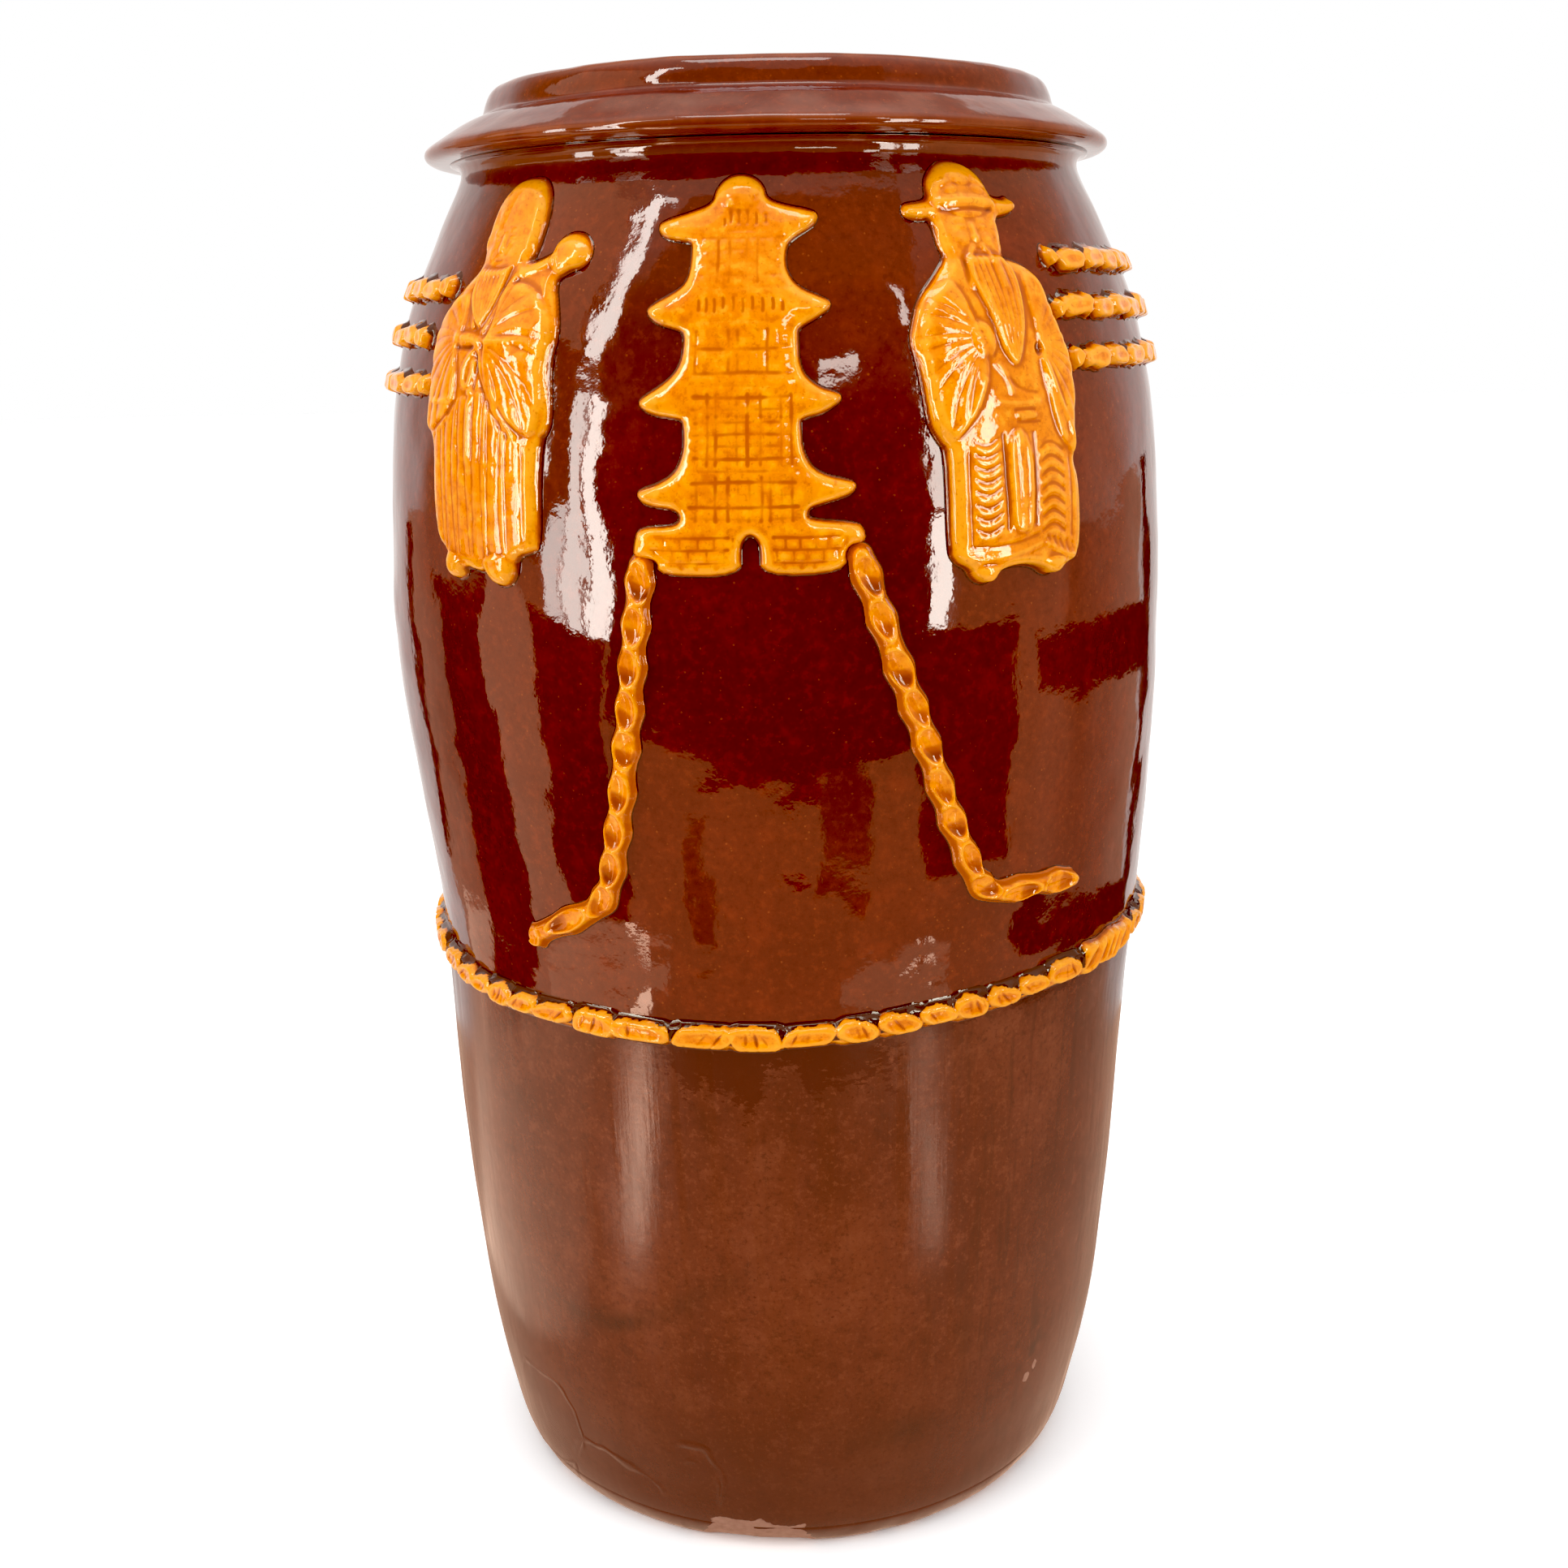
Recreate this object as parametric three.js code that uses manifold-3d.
// Tall glazed earthenware kimchi jar, open at the top, standing on a flat base.
// The body is thrown in two sections on a base slab and closed by a separate
// mouth ring. A finger-pressed clay band covers the waist joint. Yellow-glazed
// sprigs sit on the wall: a tiered tower on two rope legs, two robed figures,
// and three rope bars on each flank.
// Millimetres, +Z up, origin at the centre of the underside, front towards -Y.
import * as THREE from 'three';
import { mergeVertices } from 'three/addons/utils/BufferGeometryUtils.js';
import Module from 'manifold-3d';

const wasm = await Module();
wasm.setup();

// ---------------------------------------------------------------- dimensions
const SEGMENTS = 48;        // facets round the body
const WALL = 12;            // wall thickness
const BASE_THICKNESS = 16;  // slab under the wall
const SEAM_Z = 303;         // nominal height of the waist joint
const SEAM_REACH = 36;      // how far the joint's waviness is felt up and down
const NECK_Z = 694;         // top of the thrown body, under the mouth ring
const JOINT_GAP = 0.3;      // slip joint between luted sections
const SPRIG_GAP = 0.4;      // slip between a sprig and the wall
const PLATE = 4.6;          // low relief of a sprig
const RAISED = 7.6;         // high relief of a sprig
const UNROLL_R = 195;       // sprig outlines are unrolled at this radius
const BAND_BOSSES = 54;     // finger marks round the waist band
const ROPE_PITCH = 18;      // finger marks along a rope

// outer wall, [height, radius]
const PROFILE = [
  [0, 150], [5, 156.5], [12, 160.2], [20, 162.8], [40, 167.2], [60, 171.2], [80, 174.5],
  [100, 176.8], [120, 178.7], [140, 180.4], [160, 182.0], [180, 183.4], [200, 184.5],
  [220, 185.4], [240, 186.3], [260, 187.1], [280, 188.0], [300, 189.2], [320, 190.8],
  [340, 192.5], [360, 194.2], [380, 195.9], [400, 197.5], [420, 199.1], [440, 200.3],
  [460, 200.9], [480, 201.0], [500, 200.5], [520, 199.6], [540, 198.3], [560, 196.4],
  [580, 193.6], [595, 190.5], [610, 187.0], [622, 183.6], [634, 179.4], [645, 174.6],
  [656, 169.2], [668, 163.4], [680, 157.2], [686, 154.2], [690, 152.0], [692.3, 150.2], [694, 147.6],
];
// sideways drift of the hand-thrown centre line, [height, x]
const DRIFT = [
  [0, 0], [60, 1.0], [120, 1.6], [200, 1.6], [260, 2.1], [300, 3.2], [325, 3.6],
  [350, 3.1], [380, 2.1], [410, 1.0], [440, 0.4], [500, 0], [740, 0],
];
// height of the waist joint round the jar, [degrees from the front, height]
const SEAM = [
  [-180, 305], [-120, 306], [-80, 304], [-64, 302], [-57, 299.8], [-48, 299.4], [-36, 299.4],
  [-20, 298.7], [-5, 298.9], [2, 300], [10, 301.8], [21, 305], [31, 306.8], [43, 310.4],
  [55, 310.8], [75, 311], [120, 308], [180, 305],
];
const LOWER_STEPS = [BASE_THICKNESS + JOINT_GAP, 30, 60, 100, 140, 180, 220, 260, 284, SEAM_Z - JOINT_GAP / 2];
const UPPER_STEPS = [SEAM_Z + JOINT_GAP / 2, 322, 345, 380, 420, 460, 500, 540, 570, 595, 615, 634, 650, 668, 680, 688, 691.6, NECK_Z];

// mouth ring section, [radius, height]: neck, rounded drooping flange, upright collar, inside
const RING = [
  [139.5, 694.3], [147.4, 694.3], [157, 694.4], [165, 694.6], [168.4, 695.6], [170.1, 697.6],
  [170, 699.8], [168.4, 701.7], [165.4, 703.7], [161.3, 706.2], [155.5, 709.8], [149.5, 713],
  [144.8, 714.7], [142.3, 716], [141.2, 718.6], [140.3, 721.8], [138.2, 726.4], [135.4, 728.9],
  [132.4, 729.6], [129, 728.4], [127, 725], [126.4, 716], [128.5, 704], [133, 697],
];

// sprig outlines, unrolled: [run along the wall at UNROLL_R, height]
const TOWER = [
  [-14.6, 678.3], [-7.4, 676.7], [-2.9, 673], [-1.5, 667.7], [7, 665], [22.2, 662.6], [23.5, 659.7],
  [20.6, 656.2], [11.8, 652.2], [7.3, 648.5], [6.4, 639.4], [11.5, 631.4], [24.6, 626.6], [26.7, 624.2],
  [23, 620.7], [12.1, 615.4], [11, 613], [11.3, 598.6], [17.9, 591.4], [28.1, 588.2], [28.8, 585.5],
  [22.2, 581], [11.8, 578.6], [10.8, 576.2], [11.8, 563.4], [18.2, 555.4], [32.6, 552.2], [33.9, 549.6],
  [31, 546.4], [16.9, 542.9], [13.4, 541], [13.4, 536.5], [34.2, 534.9], [36.8, 531.4], [37.1, 527],
  [28.6, 525], [29.1, 514.4], [-6.1, 513.8], [-6.1, 525], [-7.4, 529], [-10.6, 531.1], [-13.5, 529],
  [-14.9, 525], [-14.9, 513.8], [-49.5, 513.8], [-49.8, 520.6], [-60.2, 520.6], [-59.9, 527.4],
  [-57.8, 533.8], [-40.2, 534.3], [-39.7, 541.5], [-54.6, 543.1], [-58.3, 546.6], [-57.8, 549.3],
  [-49, 551.9], [-41, 557], [-37.5, 566.6], [-38.1, 577.5], [-40.2, 579.1], [-52.2, 580.7], [-57.6, 584.2],
  [-57.8, 586.9], [-45.8, 593.8], [-39.4, 601], [-38.1, 613], [-41, 615.2], [-51.4, 617.8], [-56, 621.8],
  [-55.4, 624.8], [-41, 631.4], [-37, 637], [-36.5, 649], [-38.6, 651.1], [-49.8, 652.2], [-54.4, 655.9],
  [-53.5, 659.4], [-39.4, 662.6], [-27.9, 666.1], [-26.6, 672.2], [-21.8, 676.7],
];
const TOWER_RAISED = [
  [[-33, 660.5], [4, 660.5], [14, 657.5], [3, 651.5], [-33, 651.5], [-45, 656.5]],
  [[-33, 629.5], [6, 629.5], [17, 624], [6, 617], [-33, 617], [-46, 622]],
  [[-33, 592], [8, 592], [18, 586], [8, 580.5], [-33, 580.5], [-47, 585.5]],
  [[-33, 555.5], [10, 555.5], [23, 549.5], [9, 544.5], [-34, 544.5], [-48, 547.5]],
  [[-46, 532], [-16.5, 532], [-16.5, 516], [-46, 516]],
  [[-4.5, 532], [26, 532], [26, 516], [-4.5, 516]],
];
const ELDER = [
  [-150, 680.4], [-140.4, 681.5], [-130.6, 680.4], [-123.4, 674], [-121, 664], [-121.6, 650], [-124, 643.6],
  [-110, 648.2], [-110, 652.2], [-106, 655.4], [-99.6, 656.5], [-93.2, 654.9], [-88.9, 650.6], [-88.4, 645.8],
  [-91.6, 641.8], [-98.8, 640.2], [-106, 636.5], [-102, 624.2], [-100.1, 614.6], [-102.8, 604.2],
  [-102.3, 595.4], [-100.4, 582.6], [-101, 574.6], [-105.8, 568.7], [-105.8, 524.2], [-110, 521.5],
  [-117.7, 519.1], [-118.5, 511.4], [-122, 506.6], [-126.8, 505.2], [-132.1, 507.1], [-135.3, 511.9],
  [-140.4, 510.9], [-150, 513], [-151.1, 508.2], [-157.2, 506.1], [-162.5, 508.2], [-163.9, 513.8],
  [-163.6, 518.9], [-170, 523.1], [-173.4, 531.4], [-173.4, 565.8], [-178, 570.1], [-180.7, 574.6],
  [-180.4, 585.8], [-183.6, 595.4], [-184.4, 608.2], [-182.8, 617.8], [-177.2, 629], [-166, 637],
  [-157, 643.6], [-159.6, 650], [-160.2, 664], [-157.4, 674],
];
const ELDER_RAISED = [
  [[-150, 677], [-140.4, 678.5], [-131, 677], [-125, 668], [-126, 652], [-134, 643], [-147, 643], [-155, 652], [-156, 668]],
  [[-175, 625], [-160, 634], [-145, 622], [-144, 606], [-152, 580], [-168, 566], [-176, 582], [-180, 606]],
  [[-136, 620], [-118, 634], [-108, 632], [-104, 612], [-106, 580], [-112, 570], [-126, 590], [-136, 606]],
  [[-168, 560], [-150, 572], [-128, 572], [-110, 560], [-110, 527], [-140, 517], [-168, 528]],
];
const OFFICIAL = [
  [102, 684.2], [111.6, 682.8], [118.8, 677.5], [122, 669.5], [130, 667.6], [135.6, 669.2], [138.3, 666],
  [136.4, 662.8], [130, 661.2], [121, 659.9], [120.6, 647], [117.6, 642.8], [125.2, 641.5], [133.5, 638.8],
  [137.7, 634], [138.3, 626], [139.9, 618], [144.7, 606.8], [147, 597.2], [144.7, 586], [142.8, 572.4],
  [140.9, 567.6], [140.9, 559.6], [139, 555.6], [142.5, 549.2], [142.8, 518.8], [139.9, 512.4], [130, 509.2],
  [126.8, 506.8], [121.2, 507.1], [116.4, 511.1], [106, 512.7], [95.6, 510.5], [93.2, 506], [87.6, 505.7],
  [83.3, 509.2], [82, 512.7], [76.4, 515.6], [73.7, 521.2], [74, 563.6], [70.8, 567.1], [66.6, 574.8],
  [65.2, 587.6], [63.4, 600.4], [61.2, 608.4], [63.4, 616.4], [67.6, 626], [76.4, 634], [85.4, 642.8],
  [82.6, 647], [82.3, 659.3], [74, 658.3], [68.4, 659.9], [67.1, 662.5], [69.2, 665.2], [78.8, 666],
  [82.8, 667.6], [83.6, 674.8], [89.2, 680.4], [94.8, 683.3],
];
const OFFICIAL_RAISED = [
  [[101.5, 681], [111, 679], [117, 671], [116, 651], [109, 644], [95, 644], [87, 651], [87, 671], [92, 679]],
  [[70, 621], [82, 634], [98, 622], [100, 604], [92, 580], [76, 570], [69, 588], [66, 606]],
  [[106, 622], [126, 634], [134, 628], [140, 604], [138, 574], [124, 580], [110, 596], [104, 606]],
  [[78, 562], [94, 574], [118, 574], [138, 556], [138, 520], [108, 516], [78, 520]],
];
const LEFT_LEG = [
  [-57.3, 517.3], [-60.2, 493], [-62.6, 475.4], [-65, 454.6], [-67.7, 437.8], [-71.4, 416.2], [-75.9, 397],
  [-80.5, 379.4], [-85.5, 365], [-93, 357], [-103.4, 351.4], [-114.6, 346.1], [-125, 341], [-130.3, 337.5],
];
const RIGHT_LEG = [
  [35, 521], [40, 504.6], [45.6, 488.6], [51.2, 471.8], [57.6, 454.2], [63.2, 437.4], [69.9, 417.4],
  [76, 399.8], [83.2, 382.2], [88.8, 368.4], [97, 361.2], [109.6, 359.7], [122.4, 360.3], [135.2, 359], [147.2, 357.7],
];
// rope bars: [visible end, hidden end] as runs along the wall, and height
const BARS = {
  left_bar_upper: [[-179, -364], 635.4],
  left_bar_middle: [[-195.6, -371], 614.2],
  left_bar_lower: [[-186, -366], 592.4],
  right_bar_upper: [[147, 364], 643.2],
  right_bar_middle: [[143, 371], 622],
  right_bar_lower: [[149.6, 366], 599.8],
};

// ------------------------------------------------------------------- colours
const GLAZE_UPPER = new THREE.MeshStandardMaterial({ color: 0x4a1c10, roughness: 0.12, metalness: 0 });
const GLAZE_LOWER = new THREE.MeshStandardMaterial({ color: 0x6b3a2a, roughness: 0.38, metalness: 0 });
const GLAZE_YELLOW = new THREE.MeshStandardMaterial({ color: 0xd98a12, roughness: 0.18, metalness: 0 });
const BARE_CLAY = new THREE.MeshStandardMaterial({ color: 0x7a4632, roughness: 0.7, metalness: 0 });

// --------------------------------------------------------------- smooth lines
// Monotone cubic through the points of a table.
function curve(points) {
  const n = points.length;
  const slope = new Array(n).fill(0);
  const step = [];
  for (let i = 0; i < n - 1; i++) step.push((points[i + 1][1] - points[i][1]) / (points[i + 1][0] - points[i][0]));
  slope[0] = step[0];
  slope[n - 1] = step[n - 2];
  for (let i = 1; i < n - 1; i++) {
    slope[i] = step[i - 1] * step[i] <= 0 ? 0 : (2 * step[i - 1] * step[i]) / (step[i - 1] + step[i]);
  }
  return (x) => {
    let i = 0;
    while (i < n - 2 && x > points[i + 1][0]) i++;
    const h = points[i + 1][0] - points[i][0];
    const t = Math.min(1, Math.max(0, (x - points[i][0]) / h));
    const a = points[i][1], b = points[i + 1][1];
    const t2 = t * t, t3 = t2 * t;
    return a * (2 * t3 - 3 * t2 + 1) + slope[i] * h * (t3 - 2 * t2 + t) + b * (3 * t2 - 2 * t3) + slope[i + 1] * h * (t3 - t2);
  };
}
const radiusAt = curve(PROFILE);
const driftAt = curve(DRIFT);
const seamAt = curve(SEAM);

// Lift of a wall ring at this angle, so the waist joint follows its wavy line.
function seamLift(angle, z) {
  const d = (z - SEAM_Z) / SEAM_REACH;
  if (Math.abs(d) >= 1) return 0;
  const fade = (1 - d * d) * (1 - d * d);
  return fade * (seamAt(THREE.MathUtils.radToDeg(angle)) - SEAM_Z);
}
// Point on the wall: angle from the front towards +X, height, distance outward.
function wallPoint(angle, z, out) {
  const r = radiusAt(Math.min(z, NECK_Z)) + out;
  return new THREE.Vector3(r * Math.sin(angle) + driftAt(z), -r * Math.cos(angle), z);
}

// ------------------------------------------------------------ closed surfaces
// Welds shared vertices, drops empty triangles and turns the faces outward.
function weld(geometry) {
  geometry.deleteAttribute('normal');
  geometry.deleteAttribute('uv');
  const merged = mergeVertices(geometry, 1e-3);
  const p = merged.getAttribute('position');
  const index = [];
  let volume = 0;
  const a = new THREE.Vector3(), b = new THREE.Vector3(), c = new THREE.Vector3();
  for (let i = 0; i < merged.index.count; i += 3) {
    const [u, v, w] = [merged.index.getX(i), merged.index.getX(i + 1), merged.index.getX(i + 2)];
    if (u === v || v === w || w === u) continue;
    index.push(u, v, w);
    volume += a.fromBufferAttribute(p, u).dot(b.fromBufferAttribute(p, v).cross(c.fromBufferAttribute(p, w)));
  }
  if (volume < 0) for (let i = 0; i < index.length; i += 3) [index[i + 1], index[i + 2]] = [index[i + 2], index[i + 1]];
  const out = new THREE.BufferGeometry();
  out.setAttribute('position', p);
  out.setIndex(index);
  out.computeVertexNormals();
  return out;
}
// Turns a profile of [radius, height] about the jar's axis, then lets every
// vertex follow the drift of the centre line and the wave of the waist joint.
function turned(profile, segments = SEGMENTS, follow = true) {
  const g = new THREE.LatheGeometry(profile.map(([r, z]) => new THREE.Vector2(r, z)), segments);
  const p = g.getAttribute('position');
  for (let i = 0; i < p.count; i++) {
    const x = p.getX(i), z = p.getY(i), y = p.getZ(i);
    const r = Math.hypot(x, y);
    const angle = Math.atan2(x, y);
    const lift = follow ? seamLift(angle, z) : 0;
    const zz = z + lift;
    const rr = lift ? r + radiusAt(zz) - radiusAt(z) : r;
    p.setXYZ(i, rr * Math.sin(angle) + (r > 1e-6 ? driftAt(Math.min(zz, 740)) : 0), -rr * Math.cos(angle), zz);
  }
  return weld(g);
}
const closed = (profile) => [...profile, profile[0]];

function toSolid(geometry) {
  return new wasm.Manifold(new wasm.Mesh({
    numProp: 3,
    vertProperties: Float32Array.from(geometry.getAttribute('position').array),
    triVerts: Uint32Array.from(geometry.index.array),
  }));
}
function fromSolid(solid) {
  const m = solid.getMesh();
  const xyz = new Float32Array((m.vertProperties.length / m.numProp) * 3);
  for (let i = 0; i < xyz.length / 3; i++) for (let k = 0; k < 3; k++) xyz[3 * i + k] = m.vertProperties[i * m.numProp + k];
  const g = new THREE.BufferGeometry();
  g.setAttribute('position', new THREE.BufferAttribute(xyz, 3));
  g.setIndex(Array.from(m.triVerts));
  g.computeVertexNormals();
  return g;
}

// -------------------------------------------------------------------- bodies
const inward = (z) => radiusAt(z) - WALL + (z < 40 ? (z - 40) * 0.1 : 0) + (z > 660 ? (z - 660) * 0.03 : 0);

const baseSlab = turned([
  [0, 0], [150, 0], [156.5, 5], [160.2, 12], [161.6, BASE_THICKNESS], [80, BASE_THICKNESS], [0, BASE_THICKNESS],
], SEGMENTS, false);

const lowerInside = [SEAM_Z - JOINT_GAP / 2, 260, 200, 140, 80, 40, BASE_THICKNESS + JOINT_GAP];
const lowerBody = turned(closed([
  ...LOWER_STEPS.map((z) => [radiusAt(z), z]),
  ...lowerInside.map((z) => [inward(z), z]),
]));

const upperInside = [NECK_Z, 670, 650, 625, 595, 550, 480, 400, 345, SEAM_Z + JOINT_GAP / 2];
const upperBody = turned(closed([
  ...UPPER_STEPS.map((z) => [radiusAt(z), z]),
  ...upperInside.map((z) => [inward(z), z]),
]));

const mouthRing = turned(closed(RING), SEGMENTS, false);

// Waist band: a strip laid round the joint, thick at each boss and pinched
// between two bosses.
function waistBand() {
  const section = [[0.5, -5.2], [3.6, -6.4], [7, -3.4], [7.2, 2.6], [3.8, 6.2], [0.5, 5.2]];
  const base = 100;
  const g = new THREE.LatheGeometry(closed(section).map(([o, a]) => new THREE.Vector2(base + o, a)), BAND_BOSSES * 2);
  const p = g.getAttribute('position');
  for (let i = 0; i < p.count; i++) {
    const x = p.getX(i), a = p.getY(i), y = p.getZ(i);
    const out = Math.hypot(x, y) - base;
    const angle = Math.atan2(x, y);
    const boss = 0.5 + 0.5 * Math.cos(angle * BAND_BOSSES);
    const z = seamAt(THREE.MathUtils.radToDeg(angle)) + a * (0.86 + 0.14 * boss);
    const q = wallPoint(angle, z, out < 1 ? out : out * (0.62 + 0.38 * boss));
    p.setXYZ(i, q.x, q.y, q.z);
  }
  return weld(g);
}

// Rope strip along an unrolled path: a cylinder bent onto the wall, its section
// flat on the wall side and dented by finger marks at a regular pitch.
function rope(path, halfWidth = 6, relief = 7, pitch = ROPE_PITCH) {
  const section = [[-0.86, 0.5], [-1, 0.42], [-0.5, 1], [0.5, 1], [1, 0.42], [0.86, 0.5]];
  const line = new THREE.CatmullRomCurve3(path.map(([s, z]) => new THREE.Vector3(s, z, 0)));
  const length = line.getLength();
  const marks = Math.max(2, Math.round(length / pitch));
  const rings = marks * 3;
  const g = new THREE.CylinderGeometry(1, 1, 1, section.length, rings);
  const p = g.getAttribute('position');
  for (let i = 0; i < p.count; i++) {
    const x = p.getX(i), t = p.getY(i) + 0.5, y = p.getZ(i);
    const u = THREE.MathUtils.clamp(t, 0, 1);
    const at = line.getPointAt(u);
    const along = line.getTangentAt(u);
    let side = 0, out = 0.5 + relief * 0.4;
    if (Math.hypot(x, y) > 1e-6) {
      const k = Math.round((Math.atan2(x, y) / (2 * Math.PI)) * section.length + section.length) % section.length;
      const mark = 0.5 - 0.5 * Math.cos(2 * Math.PI * marks * u);
      const end = 1 - 0.35 * Math.max(0, 1 - Math.min(u, 1 - u) * marks * 3);
      side = section[k][0] * halfWidth * end;
      const top = k === 2 || k === 3;
      out = k === 0 || k === 5 ? 0.5 : relief * section[k][1] * end * (top ? 1 - 0.4 * mark : 1);
    }
    const z = at.y + along.x * side;
    const s = at.x - along.y * side;
    const q = wallPoint(s / UNROLL_R, z, out);
    p.setXYZ(i, q.x, q.y, q.z);
  }
  return weld(g);
}

// Sprig: the wall's own skin, thickened outward, cut to an unrolled outline.
function skin(thickness) {
  const steps = UPPER_STEPS.filter((z) => z >= 460);
  return toSolid(turned(closed([
    ...steps.map((z) => [radiusAt(z) + thickness, z]),
    ...[...steps].reverse().map((z) => [radiusAt(z) + SPRIG_GAP, z]),
  ]), SEGMENTS, false));
}
function outlinePrism(outline, middle) {
  const tangent = new THREE.Vector3(Math.cos(middle), Math.sin(middle), 0);
  const outward = new THREE.Vector3(Math.sin(middle), -Math.cos(middle), 0);
  const shape = new THREE.Shape(outline.map(([s, z]) => new THREE.Vector2(wallPoint(s / UNROLL_R, z, 3).dot(tangent), z)));
  const g = new THREE.ExtrudeGeometry(shape, { depth: 160, bevelEnabled: false, steps: 1 });
  g.applyMatrix4(new THREE.Matrix4().makeBasis(tangent, new THREE.Vector3(0, 0, 1), outward));
  g.translate(outward.x * 90, outward.y * 90, 0);
  return toSolid(weld(g));
}
const plateSkin = skin(PLATE);
const raisedSkin = skin(RAISED);
function sprig(outline, raised) {
  const runs = outline.map(([s]) => s);
  const middle = (Math.min(...runs) + Math.max(...runs)) / 2 / UNROLL_R;
  let body = plateSkin.intersect(outlinePrism(outline, middle));
  for (const patch of raised) body = body.add(raisedSkin.intersect(outlinePrism(patch, middle)));
  return fromSolid(body);
}

// ------------------------------------------------------------------ assembly
const jar = new THREE.Group();
jar.name = 'kimchi_jar';
function piece(name, geometry, material, parent = jar) {
  const mesh = new THREE.Mesh(geometry, material);
  mesh.name = name;
  parent.add(mesh);
  return mesh;
}
piece('base_slab', baseSlab, BARE_CLAY);
piece('lower_body', lowerBody, GLAZE_LOWER);
piece('upper_body', upperBody, GLAZE_UPPER);
piece('mouth_ring', mouthRing, GLAZE_UPPER);

const sprigs = new THREE.Group();
jar.add(sprigs);
piece('waist_band', waistBand(), GLAZE_YELLOW, sprigs);
piece('tower_sprig', sprig(TOWER, TOWER_RAISED), GLAZE_YELLOW, sprigs);
piece('elder_sprig', sprig(ELDER, ELDER_RAISED), GLAZE_YELLOW, sprigs);
piece('official_sprig', sprig(OFFICIAL, OFFICIAL_RAISED), GLAZE_YELLOW, sprigs);
piece('left_leg_rope', rope(LEFT_LEG), GLAZE_YELLOW, sprigs);
piece('right_leg_rope', rope(RIGHT_LEG), GLAZE_YELLOW, sprigs);
for (const [name, [[from, to], z]] of Object.entries(BARS)) {
  const path = Array.from({ length: 7 }, (_, i) => [from + ((to - from) * i) / 6, z]);
  piece(name, rope(path, 5.4, 6.2, 24), GLAZE_YELLOW, sprigs);
}

export default jar;
